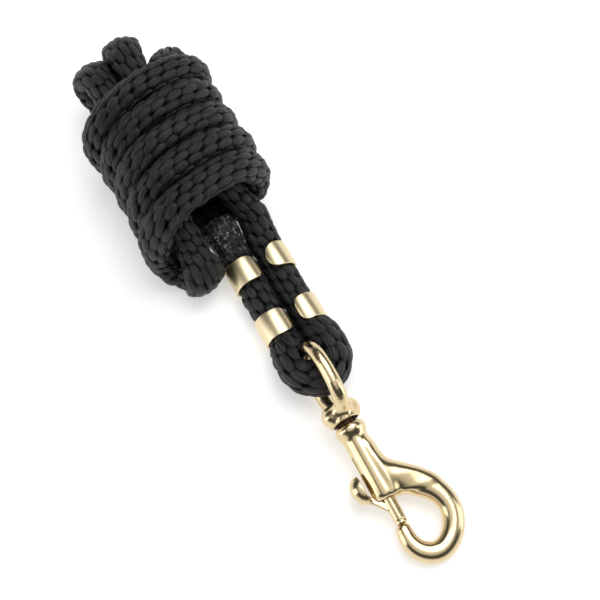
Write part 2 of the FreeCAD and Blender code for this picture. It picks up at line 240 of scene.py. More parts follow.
# x, y, z: out along the melted leg, round the eye and back along the return leg
EYE_POINTS = [
    (-51.2, -17.0, 19.3), (-46.5, -16.7, 17.2), (-40.5, -16.3, 13.4), (-34.5, -15.7, 9.9),
    (-28.5, -15.35, 8.55), (-21, MELTED_LEG_Y, LEG_Z), (-10, MELTED_LEG_Y - 0.1, LEG_Z),
    (3, MELTED_LEG_Y, LEG_Z), (9.0, MELTED_LEG_Y - 0.05, LEG_Z), (13.5, -15.6, 9.0),
    (18.3, -16.1, 10.7), (23.5, -17.0, 12.4), (29.0, -17.8, 13.8), (34.0, -17.0, 14.3),
    (37.9, -14.3, 14.4), (39.7, -10.9, 14.4), (39.8, -7.1, 14.4), (38.3, -4.0, 14.4),
    (35.0, -1.5, 14.4), (30.0, 0.0, 14.2), (24.2, 0.1, 13.0), (18.3, -0.5, 10.9),
    (12.0, -0.9, 8.9), (6, -0.95, LEG_Z), (3, RETURN_LEG_Y, LEG_Z),
    (-10, RETURN_LEG_Y - 0.1, LEG_Z), (-21, RETURN_LEG_Y, LEG_Z), (-28.5, -0.8, 8.7),
    (-34.5, -0.75, 10.6), (-40.0, -0.6, 14.0), (-46.5, -0.5, 18.4),
]
# x, y, z: the strands inside the wraps, up to the first wrap
INNER_TURN = (-66.2, -26.7, 21.6)
WRAP_ENTRY = (-46.2, -45.8, 15.0)
INNER_POINTS = [
    (-52.4, -3.0, 22.9), (-57, -4.6, 26.6), (-64, -7.8, 31.0), (-73, -13.2, 34.6),
    (-84, -17.2, 35.5), (-100, -18.8, 35.5), (-116, -17.8, 36.4), (-128, -17.9, 37.8),
    (-136.4, -17.6, 38.0), (-142.8, -17.3, 35.3), (-145.6, -17.2, 29.0), (-142.8, -17.3, 22.7),
    (-136.4, -17.6, 20.0), (-128, -18.3, 20.2), (-116, -19.2, 21.2), (-100, -19.6, 21.6),
    (-86, -19.7, 21.6), (-78.5, -19.8, 21.6), (-73.6, -19.95, 21.6), (-68.4, -21.9, 21.6),
    INNER_TURN, (-68.4, -31.6, 21.6), (-73.6, -33.55, 21.6), (-78.5, -33.6, 21.6),
    (-86, -33.6, 21.6), (-100, -33.5, 21.6), (-111, -33.5, 21.0), (-122, -33.9, 18.6),
    (-133.0, -34.4, 17.2), (-139.0, -34.9, 19.5), (-141.7, -35.2, 25.5), (-139.0, -34.9, 31.5),
    (-133.0, -34.2, 34.0), (-122, -33.8, 34.8), (-112, -33.6, 35.0), (-100, -33.4, 35.2),
    (-84, -33.4, 35.2), (-68, -33.8, 34.8), (-56, -34.6, 31.0), (-46, -33.8, 24.8),
    (-37.4, -33.3, 21.4), (-30.3, -33.2, 19.2), (-27.8, -33.4, 14.2), (-30.2, -34.4, 9.2),
    (-36.8, -37.2, 7.2), (-43.0, -42.2, 8.9), WRAP_ENTRY,
]
# x, y, z: the tail, bent up and tucked into the wraps
TAIL_POINTS = [
    (-116.8, 7.4, 14.8), (-120.8, 6.0, 10.2), (-126.3, 4.6, 9.4), (-131.0, 3.6, 12.8),
    (-133.1, 3.0, 19.0), (-132.6, 1.6, 26.0), (-129.2, -0.8, 31.4), (-122.6, -3.2, 32.8),
    (-112, -5.4, 30.6), (-96, -6.4, 28.6),
]

AROUND = 104        # points round the rope
path, distance = resample(EYE_POINTS + INNER_POINTS + wrap_points() + TAIL_POINTS,
                          0.42)
RINGS = len(path)
RING_STEP = distance[1] - distance[0]


def rings_in(length):
    return int(length / RING_STEP)


def blur_over(values, length):
    return box_blur(values, max(2, rings_in(length)))


def nearest(point, low, high):
    """The ring from low to high that is nearest a layout point."""
    return low + int(np.argmin(np.linalg.norm(path[low:high] - np.array(point), axis=1)))


def carried_frame(line, tangent):
    """Side vectors carried along the line without twist, by double reflection."""
    side = np.cross(tangent[0], [0, 0, 1.0])
    side /= np.linalg.norm(side)
    sides = [side]
    for i in range(1, len(line)):
        step = line[i] - line[i - 1]
        scale = 2 / (step @ step)
        side = side - scale * (step @ side) * step
        mirrored = tangent[i - 1] - scale * (step @ tangent[i - 1]) * step
        turn = tangent[i] - mirrored
        size = turn @ turn
        if size > 1e-14:
            side = side - (2 / size) * (turn @ side) * turn
        side = side - (side @ tangent[i]) * tangent[i]
        side /= np.linalg.norm(side)
        sides.append(side)
    return np.array(sides)


tangent = np.gradient(path, axis=0)
tangent /= np.linalg.norm(tangent, axis=1)[:, None]
bend = blur_over(np.gradient(tangent, axis=0) / RING_STEP, 5.0)
bend_size = np.linalg.norm(bend, axis=1)
side_u = carried_frame(path, tangent)
side_v = np.cross(tangent, side_u)
around = 2 * math.pi * np.arange(AROUND) / AROUND
outward = (np.cos(around)[None, :, None] * side_u[:, None, :]
           + np.sin(around)[None, :, None] * side_v[:, None, :])

# ---------------------------------------------------------------------------
# the rope's section
# ---------------------------------------------------------------------------
path_x, path_y, path_z = path.T
neck_ring = nearest(EYE_POINTS[-1], rings_in(150), rings_in(330))
in_eye = np.arange(RINGS) <= neck_ring

pinch = np.zeros(RINGS)
for clamp_x in CLAMP_X:
    pinch = np.maximum(pinch, 1 - smoothstep(CLAMP_WIDTH / 2 - 0.6, CLAMP_WIDTH / 2 + 2.2,
                                             np.abs(path_x - clamp_x)))
pinch *= in_eye & (np.abs(path_z - LEG_Z) < 3.0)
pinch = blur_over(pinch, 1.2)

PINCHED_R = 7.0
base = np.full(RINGS, ROPE_R)
# fuller between the clamps, in the eye and where the legs rise to the hank
base += 0.50 * in_eye * smoothstep(-26, -14, path_x) * (1 - smoothstep(1, 8, path_x))
base += in_eye * smoothstep(13, 19, path_x) * (1.6 - 0.75 * smoothstep(33, 38, path_x))
base += 0.62 * in_eye * (1 - smoothstep(-33, -27, path_x))
base = base * (1 - pinch) + PINCHED_R * pinch
base = blur_over(base, 2.0)
# the section goes oval where the rope bends: wider across the bend, flatter along it
bent = np.clip(bend_size * ROPE_R, 0, 1.1)
widen = 0.38 * bent * np.where(in_eye, 0.35, 1.0)
flatten = 0.20 * bent * np.where(in_eye, 0.6, 1.0)
# the melted end: 1 on the crust, 0 on the braid
MELT_LENGTH = 21.0
melt = 1 - smoothstep(MELT_LENGTH - 7.0, MELT_LENGTH + 2.0, distance)
base = base + 0.5 * (1 - smoothstep(12.0, MELT_LENGTH, distance))

bend_way = bend / np.maximum(bend_size, 1e-6)[:, None]
bend_angle = np.arctan2(np.einsum("ij,ij->i", bend_way, side_v),
                        np.einsum("ij,ij->i", bend_way, side_u))
from_bend = around[None, :] - bend_angle[:, None]
oval = 1.0 / np.sqrt((np.cos(from_bend) / (1 - flatten)[:, None]) ** 2
                     + (np.sin(from_bend) / (1 + widen)[:, None]) ** 2)

# --- stitches
COLUMNS = 10                         # columns of stitches round the rope
STITCH_PITCH = 7.0
COLUMN_WIDTH = 2 * math.pi * ROPE_R / COLUMNS
STITCH_TILT = math.radians(15.0)
STITCH_HALF_LENGTH, STITCH_HALF_WIDTH = 4.60, 2.70
STITCH_RELIEF = 1.62
YARN_SPACING, YARN_RELIEF = 1.30, 0.085
STITCH_ROWS = int(distance[-1] / STITCH_PITCH) + 8
# per stitch: shift across, shift along, turn, length, width
STITCH_JITTER = rng.uniform(-1, 1, (COLUMNS, STITCH_ROWS, 5))


def stitch_field(along, angle):
    """Of the stitch on top: height over the valleys, place across and along it, its shade."""
    column = (angle / (2 * math.pi)) * COLUMNS
    height = np.full(along.shape, -1.0)
    across, lengthwise, shade = np.zeros((3, *along.shape))
    for column_step in (-1, 0, 1):
        number = np.floor(column).astype(int) + column_step
        wrapped = np.mod(number, COLUMNS)
        offset = 0.5 * (wrapped % 2) + 0.16 * np.sin(wrapped * 2.1)
        middle_row = np.round(along / STITCH_PITCH - offset).astype(int)
        for row_step in (-1, 0, 1):
            row = np.clip(middle_row + row_step, -3, STITCH_ROWS - 5)
            jitter = STITCH_JITTER[wrapped, row + 3]
            j_across, j_along, j_turn, j_length, j_width = np.moveaxis(jitter, -1, 0)
            off_x = (column - (number + 0.5)) * COLUMN_WIDTH - 0.26 * j_across
            off_y = along - (row + offset) * STITCH_PITCH - 0.48 * j_along
            tilt = STITCH_TILT + 0.15 * j_turn
            cos, sin = np.cos(tilt), np.sin(tilt)
            x = off_x * cos + off_y * sin
            y = -off_x * sin + off_y * cos
            half_length = STITCH_HALF_LENGTH * (1 + 0.08 * j_length)
            half_width = STITCH_HALF_WIDTH * (1 + 0.08 * j_width)
            # leaf shape: a little pointed at its ends
            leaf = np.abs(x / half_width) ** 2.25 + np.abs(y / half_length) ** 2.2
            dome = (np.clip(1 - leaf, 0, None) ** 0.54 * (1 + 0.10 * j_turn)
                    + 0.16 * y / half_length)
            dome = np.where(leaf < 1, dome, -0.2 * (leaf - 1))
            on_top = dome > height
            height = np.where(on_top, dome, height)
            across = np.where(on_top, x, across)
            lengthwise = np.where(on_top, y, lengthwise)
            shade = np.where(on_top, 0.5 + 0.5 * j_across, shade)
    return np.clip(height, 0, 1.1), across, lengthwise, shade


# a slow twist of the braid along the rope: distances, then radians
twist = np.interp(distance, [0, 120, 260, 420, 700, 1000, distance[-1]],
                  [0.15, 0.1, 0.35, 0.1, 0.45, 0.2, 0.6])
stitch, across, lengthwise, shade = stitch_field(
    np.repeat(distance[:, None], AROUND, 1),
    np.mod(around[None, :] + twist[:, None], 2 * math.pi))
yarn = np.cos(across * (2 * math.pi / YARN_SPACING) + 9 * shade) * YARN_RELIEF * (stitch > 0.15)

radius = (base[:, None] * oval - STITCH_RELIEF * (1 - 0.75 * melt)[:, None] * (1 - stitch)
          + yarn * (1 - melt)[:, None])

# melted crust: lumps and pits
CRUST_RINGS = rings_in(34)
crust_points = (path[:, None, :] + outward * base[:, None, None])[:CRUST_RINGS].reshape(-1, 3)
crust = (0.30 * lattice_noise(crust_points, seed=3, cell=3.6)
         + 0.34 * lattice_noise(crust_points, seed=5, cell=1.8)
         + 0.34 * np.abs(lattice_noise(crust_points, seed=7, cell=1.1))
         + 0.20 * lattice_noise(crust_points, seed=9, cell=0.7)).reshape(-1, AROUND)
radius[:CRUST_RINGS] += crust * melt[:CRUST_RINGS, None] * 1.25


def end_scale(from_end, length, power, least):
    """Factor that rounds the rope off over its last length."""
    rise = np.clip(from_end / length, 0, 1)
    dome = np.sqrt(np.clip(1 - (1 - rise) ** power, 0, 1))
    return (least + (1 - least) * dome)[:, None]


radius *= end_scale(distance, length=5.2, power=2.6, least=0.12)
radius *= end_scale(distance[-1] - distance, length=4.0, power=2.2, least=0.15)

# ---------------------------------------------------------------------------
# the snap's own frame and the ring of its swivel eye
# ---------------------------------------------------------------------------
SNAP_ORIGIN = np.array([62.2, -10.9, 13.53])
SNAP_TILT = math.radians(7.71)       # the hook end dips towards the table
RING_ROLL = math.radians(7.0)        # the eye's lean about the snap's length
RING_WIRE_R = 3.3
RING_CENTRE, RING_HALF_LENGTH, RING_HALF_WIDTH, RING_POWER = -21.7, 15.4, 13.0, 2.5

ring_angle = np.linspace(0, 2 * math.pi, 61)[:-1]
ring_along = RING_CENTRE + RING_HALF_LENGTH * signed_power(np.cos(ring_angle), 2 / RING_POWER)
ring_z = RING_HALF_WIDTH * signed_power(np.sin(ring_angle), 2 / RING_POWER)


def to_layout(points):
    """From the snap's own frame (along, y, z) to the layout."""
    along, y, z = np.moveaxis(np.asarray(points, float), -1, 0)
    cos, sin = math.cos(SNAP_TILT), math.sin(SNAP_TILT)
    return np.stack([SNAP_ORIGIN[0] + along * cos + z * sin, SNAP_ORIGIN[1] + y,
                     SNAP_ORIGIN[2] - along * sin + z * cos], -1)


# ---------------------------------------------------------------------------
# room for the rope: touching things flatten it
# ---------------------------------------------------------------------------
NO_LIMIT = 99.0
# the ring's wire at rest and over its swing, sampled as balls
SWING_PIVOT = np.array([40.3, -8.75, 14.3])
SWING_DEGREES = range(-30, 61, 10)
ring_arm = to_layout(np.stack(
    [ring_along, ring_z * math.sin(RING_ROLL), ring_z * math.cos(RING_ROLL)], 1)) - SWING_PIVOT
wire_points = []
for degrees in SWING_DEGREES:
    cos, sin = math.cos(math.radians(degrees)), math.sin(math.radians(degrees))
    wire_points.append(SWING_PIVOT + np.stack([
        ring_arm[:, 0] * cos - ring_arm[:, 2] * sin, ring_arm[:, 1],
        ring_arm[:, 0] * sin + ring_arm[:, 2] * cos], 1))
wire_points = np.concatenate(wire_points)
# a little more room where the ring runs into the boss
wire_room = np.tile(RING_WIRE_R + 0.36 + 1.1 * smoothstep(-17.0, -11.0, ring_along),
                    len(SWING_DEGREES))

strand_reach = base * (1 + 0.5 * widen)
strand_rings = np.arange(0, RINGS, max(1, rings_in(1.0)))


def strand_limit(i):
    """Reach of ring i up to the planes shared with strands it presses on."""
    offset = path[strand_rings] - path[i]
    squared = np.einsum("ij,ij->i", offset, offset)
    other = strand_reach[strand_rings]
    close = squared < (base[i] * 1.2 + other * 1.2) ** 2
    close &= np.abs(distance[strand_rings] - distance[i]) > 19.0
    if not close.any():
        return NO_LIMIT
    towards = outward[i] @ offset[close].T
    share = strand_reach[i] / (strand_reach[i] + other[close])
    reach = np.where(towards > 1e-3,
                     squared[close][None] * share[None] / np.maximum(towards, 1e-3), NO_LIMIT)
    return reach.min(1) - 0.07


def wire_limit(i):
    """Reach of ring i up to the swivel ring's wire."""
    offset = wire_points - path[i]
    squared = np.einsum("ij,ij->i", offset, offset)
    close = squared < 14.5 ** 2
    if not close.any():
        return NO_LIMIT
    towards = outward[i] @ offset[close].T
    inside = towards ** 2 - (squared[close][None] - wire_room[close][None] ** 2)
    reach = np.where((inside > 0) & (towards > 0),
                     towards - np.sqrt(np.maximum(inside, 0)), NO_LIMIT)
    return np.maximum(reach.min(1), 1.0)


def plane_limit(limit, rings, gap, heading):
    """Stop the marked rings at a plane; heading is the outward part towards it."""
    reach = gap[:, None] / np.maximum(heading, 0.05)
    return np.where(rings[:, None] & (heading > 0.05), np.minimum(limit, reach), limit)


limit = np.full((RINGS, AROUND), NO_LIMIT)
for i in range(RINGS):
    limit[i] = np.minimum(limit[i], strand_limit(i))
    if i <= neck_ring:
        limit[i] = np.minimum(limit[i], wire_limit(i))
# the table
limit = plane_limit(limit, np.full(RINGS, True), path_z - 0.15, -outward[:, :, 2])
# the melted leg and the loop beside it flatten to upright planes, so that the leg can rise past
leg = in_eye & (path_x > -48) & (path_x < -27) & (path_y < -9)
leg_plane_y = -(23.2 + 2.2 * smoothstep(37.0, 46.0, -path_x))
limit = plane_limit(limit, leg, path_y - leg_plane_y, -outward[:, :, 1])
loop = ~in_eye & (path_x > -48) & (path_y < -30)
limit = plane_limit(limit, loop, -23.75 - path_y, outward[:, :, 1])

# near 1 where strands press together; the rope material paints shade in these creases
pressed = 1 - np.clip((limit - radius) / 1.9, 0, 1)
radius = np.maximum(smin(radius, limit, blend=0.7), 0.4)
surface = path[:, None, :] + outward * radius[:, :, None]
# fx, fy: place in the stitch; sid: its shade; cav: 0 in a hole, 1 on a stitch
braid_attributes = {"fx": across, "fy": lengthwise, "sid": shade, "cav": stitch,
                    "press": pressed, "melt": np.repeat(melt[:, None], AROUND, 1)}


# ---------------------------------------------------------------------------
# materials
# ---------------------------------------------------------------------------
class Shader:
    """A cleared node tree with short calls for the nodes used here."""

    def __init__(self, tree):
        self.tree = tree
        tree.nodes.clear()

    def feed(self, socket, value):
        if isinstance(value, bpy.types.NodeSocket):
            self.tree.links.new(value, socket)
        else:
            socket.default_value = (*value, 1) if isinstance(value, tuple) else value

    def node(self, kind, inputs=None, **settings):
        made = self.tree.nodes.new("ShaderNode" + kind)
        for key, value in settings.items():
            setattr(made, key, value)
        for key, value in (inputs or {}).items():
            self.feed(made.inputs[key], value)
        return made

    def attribute(self, name):
        made = self.node("Attribute", attribute_type="GEOMETRY", attribute_name=name)
        return made.outputs["Fac"]

    def position(self):
        return self.node("TexCoord").outputs["Object"]

    def math(self, operation, *values, clamp=False):
        made = self.node("Math", dict(enumerate(values)), operation=operation, use_clamp=clamp)
        return made.outputs[0]

    def add(self, a, b):
        return self.math("ADD", a, b)

    def times(self, a, b, clamp=False):
        return self.math("MULTIPLY", a, b, clamp=clamp)

    def vector(self, x, y, z):
        return self.node("CombineXYZ", {0: x, 1: y, 2: z}).outputs[0]

    def noise(self, vector, scale, detail, roughness):
        return self.node("TexNoise", {"Scale": scale, "Detail": detail, "Roughness": roughness,
                                      "Vector": vector}).outputs["Fac"]

    def ramp(self, factor, stops):
        """Colour ramp; stops are (position, colour)."""
        made = self.node("ValToRGB", {0: factor})
        elements = made.color_ramp.elements
        while len(elements) < len(stops):
            elements.new(0.5)
        for element, (position, colour) in zip(elements, stops):
            element.position = position
            element.color = (*colour, 1)
        return made.outputs[0]

    def mix(self, factor, a, b, blend="MIX"):
        return self.node("Mix", {0: factor, 6: a, 7: b}, data_type="RGBA", blend_type=blend,
                         clamp_factor=True).outputs[2]

    def bump(self, height, strength, distance, normal=None):
        inputs = {"Strength": strength, "Distance": distance, "Height": height}
        if normal is not None:
            inputs["Normal"] = normal
        return self.node("Bump", inputs).outputs[0]

    def set_surface(self, values):
        for key, value in values.items():
            self.feed(self.bsdf.inputs[key], value)


def new_material(name):
    material = bpy.data.materials.new(name)
    material.use_nodes = True
    shader = Shader(material.node_tree)
    output = shader.node("OutputMaterial")
    shader.bsdf = shader.node("BsdfPrincipled")
    shader.feed(output.inputs[0], shader.bsdf.outputs[0])
    return material, shader


def rope_material():
    material, sh = new_material("black_braid")
    across, lengthwise, shade, cavity, melted, press = (
        sh.attribute(key) for key in ("fx", "fy", "sid", "cav", "melt", "press"))

    def streaks(across_scale, along_scale, shade_scale, detail, roughness):
        """Noise drawn out along each stitch and different from one to the next."""
        place = sh.vector(sh.times(across, across_scale), sh.times(lengthwise, along_scale),
                          sh.times(shade, shade_scale))
        return sh.noise(place, scale=1.0, detail=detail, roughness=roughness)

    filaments = streaks(3.4, 0.16, 61.0, detail=3.0, roughness=0.6)
    bundles = streaks(1.25, 0.12, 23.0, detail=1.0, roughness=0.5)
    place = sh.position()
    patches = sh.noise(place, scale=70.0, detail=3.0, roughness=0.5)
    grit = sh.noise(place, scale=900.0, detail=2.0, roughness=0.6)
    # yarns laid side by side in each stitch, 1.12 mm apart and wavering
    waver = streaks(0.5, 0.22, 37.0, detail=1.0, roughness=0.5)
    phase = sh.add(sh.times(across, 2 * math.pi / 1.12), sh.times(waver, 7.0))
    lines = sh.add(0.5, sh.times(sh.math("COSINE", phase), 0.5))
    fibre = sh.add(sh.times(filaments, 0.45), sh.times(bundles, 0.33))
    fibre = sh.add(fibre, sh.times(lines, 0.22))
    colour = sh.ramp(fibre, [
        (0.30, (0.0012, 0.0012, 0.0016)), (0.44, (0.0048, 0.0048, 0.0054)),
        (0.58, (0.0145, 0.0145, 0.0155)), (0.74, (0.0420, 0.0420, 0.0436))])
    # stitches and patches differ in brightness
    tone = sh.add(0.42, sh.times(sh.add(sh.times(shade, 0.9), patches), 0.62))
    colour = sh.mix(1.0, colour, sh.vector(tone, tone, tone), "MULTIPLY")
    dust = sh.ramp(sh.noise(place, scale=34.0, detail=2.0, roughness=0.5),
                   [(0.50, (1, 1, 1)), (0.72, (1.12, 0.98, 0.86))])
    colour = sh.mix(1.0, colour, dust, "MULTIPLY")
    # painted shade: darker in the holes between stitches and in the creases where strands press
    # together
    lit = sh.math("POWER", sh.times(cavity, 1.35, clamp=True), 1.8, clamp=True)
    colour = sh.mix(lit, (0.0012, 0.0012, 0.0016), colour)
    # painted shade in the creases where strands press together
    painted_crease_shade = sh.times(sh.math("POWER", press, 1.6, clamp=True), 0.80)
    colour = sh.mix(painted_crease_shade, colour, (0.0014, 0.0014, 0.0018))
    # melted crust: dark to light grey by noise; its light grey specks are partly painted glints
    pits = sh.noise(place, scale=620.0, detail=4.0, roughness=0.65)
    lumps = sh.noise(place, scale=240.0, detail=3.0, roughness=0.6)
    crust = sh.ramp(sh.add(sh.times(pits, 0.6), sh.times(lumps, 0.4)), [
        (0.38, (0.002, 0.002, 0.003)), (0.47, (0.014, 0.014, 0.016)),
        (0.54, (0.075, 0.076, 0.082)), (0.62, (0.40, 0.41, 0.43))])
    colour = sh.mix(sh.times(melted, 0.92), colour, crust)
    braid_roughness = sh.add(0.33, sh.times(fibre, 0.26))
    crust_roughness = sh.add(0.10, sh.times(lumps, 0.30))
    roughness = sh.node("Mix", {0: melted, 2: braid_roughness, 3: crust_roughness}).outputs[0]
    specular = sh.times(lit, 0.42)
    unmelted = sh.math("SUBTRACT", 1.0, melted)
    normal = sh.bump(sh.times(fibre, unmelted), strength=1.0, distance=0.00075)
    normal = sh.bump(sh.times(grit, 1.0), strength=0.25, distance=0.00006, normal=normal)
    normal = sh.bump(sh.times(sh.add(pits, sh.times(lumps, 0.6)), melted),
                     strength=1.0, distance=0.0017, normal=normal)
    sh.set_surface({
        "Base Color": colour, "Roughness": roughness, "Specular IOR Level": specular,
        "Sheen Weight": 0.03, "Sheen Roughness": 0.35, "Sheen Tint": (0.75, 0.76, 0.80),
        "Normal": normal})
    return material


def brass_material(name, rough, grain, grain_scale, tone, worn):
    """Brass; grain is the bump depth in metres, worn how far the clouds darken the tone."""
    material, sh = new_material(name)
    place = sh.position()
    clouds = sh.noise(place, scale=95.0, detail=4.0, roughness=0.55)
    fine = sh.noise(place, scale=grain_scale, detail=3.0, roughness=0.6)
    pits = sh.noise(place, scale=grain_scale * 2.6, detail=2.0, roughness=0.5)
    dark = tuple(part * keep for part, keep in zip(tone, (0.80, 0.76, 0.66)))
    colour = sh.mix(sh.times(clouds, worn), tone, dark)
    specks = sh.ramp(pits, [(0.0, (0.55, 0.50, 0.42)), (0.30, (0.80, 0.77, 0.70)),
                            (0.40, (1, 1, 1)), (1.0, (1, 1, 1))])
    colour = sh.mix(1.0, colour, specks, "MULTIPLY")
    recess_dirt_and_shade = sh.attribute("recess_dirt_and_shade")
    # dark brown in the swivel's recess and on the stud in it: partly dirt and oxide, partly
    # painted shade
    colour = sh.mix(recess_dirt_and_shade, colour, (0.085, 0.050, 0.028))
    roughness = sh.add(rough, sh.times(sh.add(clouds, fine), rough * 0.35))
    roughness = sh.add(roughness, sh.times(recess_dirt_and_shade, 0.3))
    relief = sh.add(fine, sh.times(pits, 0.4))
    sh.set_surface({"Base Color": colour, "Metallic": 1.0, "Roughness": roughness,
                    "Normal": sh.bump(relief, strength=1.0, distance=grain)})
    return material


def steel_material():
    material, sh = new_material("spring_steel_wire")
    grain = sh.noise(sh.position(), scale=1500.0, detail=3.0, roughness=0.6)
    colour = sh.ramp(grain, [(0.3, (0.42, 0.42, 0.43)), (0.7, (0.60, 0.60, 0.61))])
    sh.set_surface({"Base Color": colour, "Metallic": 1.0,
                    "Roughness": sh.add(0.22, sh.times(grain, 0.2)),
                    "Normal": sh.bump(grain, strength=0.6, distance=0.00001)})
    return material


rope_mat = rope_material()
snap_mat = brass_material("cast_brass", rough=0.13, grain=0.000017, grain_scale=1300.0,
                          tone=(0.775, 0.632, 0.392), worn=0.5)
clamp_mat = brass_material("stamped_brass", rough=0.24, grain=0.000014, grain_scale=1500.0,
                           tone=(0.84, 0.715, 0.47), worn=0.35)
steel_mat = steel_material()


# ---------------------------------------------------------------------------
# rope pieces
# ---------------------------------------------------------------------------
def rope_piece(name, first, last):
    """The braid between two rings, closed at both ends."""
    vertices = np.vstack([surface[first:last + 1].reshape(-1, 3), path[first], path[last]])
    attributes = {
        key: np.concatenate([values[first:last + 1].ravel(),
                             [values[first].mean(), values[last].mean()]])
        for key, values in braid_attributes.items()}
    return make_mesh(name, vertices, *tube_faces(last - first + 1, AROUND), attributes)


def bottom_ring(after, count):
    """The ring at a low point of the wraps past a ring; count 0 is the first."""
    z = path_z[after:]
    low = [j for j in range(1, len(z) - 1) if z[j] < z[j - 1] and z[j] <= z[j + 1] and z[j] < 10]
    return after + low[count]


leg_cut = nearest((-31.5, -0.4, 9.4), rings_in(150), neck_ring)
inner_cut = nearest((-60, -6, 28.5), neck_ring, neck_ring + rings_in(60))
turn_cut = nearest(INNER_TURN, neck_ring, neck_ring + rings_in(400))
wrap_cut = nearest(WRAP_ENTRY, turn_cut, turn_cut + rings_in(420))
bottom_cuts = [bottom_ring(wrap_cut, count) for count in (0, 2, 3)]
cuts = [0, leg_cut, inner_cut, turn_cut, wrap_cut, *bottom_cuts, RINGS - 1]

# name, body it rides (None: left unattached, its place baked in), CAD pieces it stands for
ROPE_PIECES = [
    ("rope_eye_braid", "neck", ["rope_eye"]),
    ("rope_neck_braid", None, ["rope_eye", "rope_hank"]),
    ("rope_inner_braid_1", "hank", ["rope_hank"]),
    ("rope_inner_braid_2", "hank", ["rope_hank"]),
    ("rope_wrap_braid_1", "hank", ["rope_hank"]),
    ("rope_wrap_braid_2", "hank", ["rope_hank"]),
    ("rope_wrap_braid_3", "hank", ["rope_hank"]),
    ("rope_tail_braid", "hank", ["rope_hank"]),
]
for (name, body, replaced), first, last in zip(ROPE_PIECES, cuts[:-1], cuts[1:]):
    ob = rope_piece(name, first, last)
    dress(ob, rope_mat, "rope", *replaced)
    if body:
        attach(ob, body)
    else:
        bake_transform(ob)

# ---------------------------------------------------------------------------
# clamps: a strip with rounded edges bent under and round both legs
# ---------------------------------------------------------------------------
STRIP_TIP_DEGREES = (36.0, 117.0)    # where the strip ends, over the melted and return leg
STRIP_EDGE_R = 0.48
# length and superellipse exponent of the tongue at each end, for each clamp
MELTED_TONGUE = (7.2, 2.35)
RETURN_TONGUES = ((6.4, 2.1), (4.6, 2.5))


def clamp_piece(name, middle_x, wave_phase, tongues):
    bend_r = CLAMP_INNER_R + CLAMP_THICK / 2
    outline = [(MELTED_LEG_Y + bend_r * math.cos(a), LEG_Z + bend_r * math.sin(a))
               for a in np.radians(np.linspace(STRIP_TIP_DEGREES[0], 270, 90))]
    outline += [(y, LEG_Z - bend_r) for y in np.linspace(MELTED_LEG_Y, RETURN_LEG_Y, 14)[1:-1]]
    outline += [(RETURN_LEG_Y + bend_r * math.cos(a), LEG_Z + bend_r * math.sin(a))
                for a in np.radians(np.linspace(-90, STRIP_TIP_DEGREES[1], 80))]
    outline = np.array(outline)
    run = np.concatenate([[0], np.cumsum(np.linalg.norm(np.diff(outline, axis=0), axis=1))])
    total = run[-1]
    # stations crowd towards both tips
    crowd = 1 - np.cos(np.linspace(0, math.pi / 2, 17))
    start, end = tongues[0][0], tongues[1][0]
    at = np.concatenate([(start * crowd)[:-1], np.linspace(start, total - end, 150),
                         (total - (end * crowd)[::-1])[1:]])
    y, z = np.interp(at, run, outline[:, 0]), np.interp(at, run, outline[:, 1])
    tangent_y, tangent_z = np.gradient(y, at), np.gradient(z, at)
    size = np.hypot(tangent_y, tangent_z)
    tangent_y, tangent_z = box_blur(tangent_y / size, 3), box_blur(tangent_z / size, 3)
    size = np.hypot(tangent_y, tangent_z)
    inward_y, inward_z = -tangent_z / size, tangent_y / size

    half = np.full(len(at), CLAMP_WIDTH / 2)
    for from_tip, (length, power) in zip((at, total - at), tongues):
        rise = np.clip(from_tip / length, 0, 1)
        taper = np.clip(1 - (1 - rise) ** power, 0, 1) ** (1 / power)
        half = np.minimum(half, CLAMP_WIDTH / 2 * taper)
    half = np.maximum(half, 0.65)[:, None]
    # rounded-rectangle section: signs of the corner, then the place on its arc
    section = np.array([
        (sign_x, sign_t, math.cos(a), math.sin(a))
        for sign_x, sign_t, first in ((1, 1, 0), (-1, 1, 90), (-1, -1, 180), (1, -1, 270))
        for a in np.radians(np.linspace(first, first + 90, 6))])
    sign_x, sign_t, arc_x, arc_t = section.T
    # slight waves along the strip's edges
    phases = rng.uniform(-1, 1, 8)[:2] * 3
    wave = (0.10 * np.sin(at * 0.42 + phases[0] + wave_phase)
            + 0.06 * np.sin(at * 0.9 + phases[1]))[:, None]
    wave = wave * np.minimum(half / 5, 1) * np.where(sign_x > 0, 1, 0.7)
    x = sign_x * np.maximum(half - STRIP_EDGE_R, 0.15) + STRIP_EDGE_R * arc_x + wave
    # thinner at the tips, and dished so that the edges stand outward
    thin = np.minimum(1.0, 0.35 + 0.65 * np.sqrt(np.minimum(1.0, np.minimum(at, total - at))))
    depth = (sign_t * (CLAMP_THICK / 2 - STRIP_EDGE_R) + STRIP_EDGE_R * arc_t) * thin[:, None]
    depth = depth - 0.10 * (x / (CLAMP_WIDTH / 2)) ** 2
    rings = np.stack([middle_x + x, y[:, None] + inward_y[:, None] * depth,
                      z[:, None] + inward_z[:, None] * depth], -1)
    vertices = np.vstack([rings.reshape(-1, 3), rings[0].mean(0), rings[-1].mean(0)])
    return make_mesh(name, vertices, *tube_faces(len(at), len(section), flip=True))


for i, clamp_x in enumerate(CLAMP_X):
    ob = clamp_piece("clamp_%d" % (i + 1), clamp_x, i * 1.7, (MELTED_TONGUE, RETURN_TONGUES[i]))
    dress(ob, clamp_mat, "clamp_brass", "rope_clamp_%d" % (i + 1))
    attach(ob, "neck")


# ---------------------------------------------------------------------------
# cast pieces: smooth blended distance fields, meshed on their zero level
# ---------------------------------------------------------------------------
def slopes(field, points, nudge=0.02):
    return np.stack([(field(points + shift) - field(points - shift)) / (2 * nudge)
                     for shift in np.eye(3) * nudge], 1)


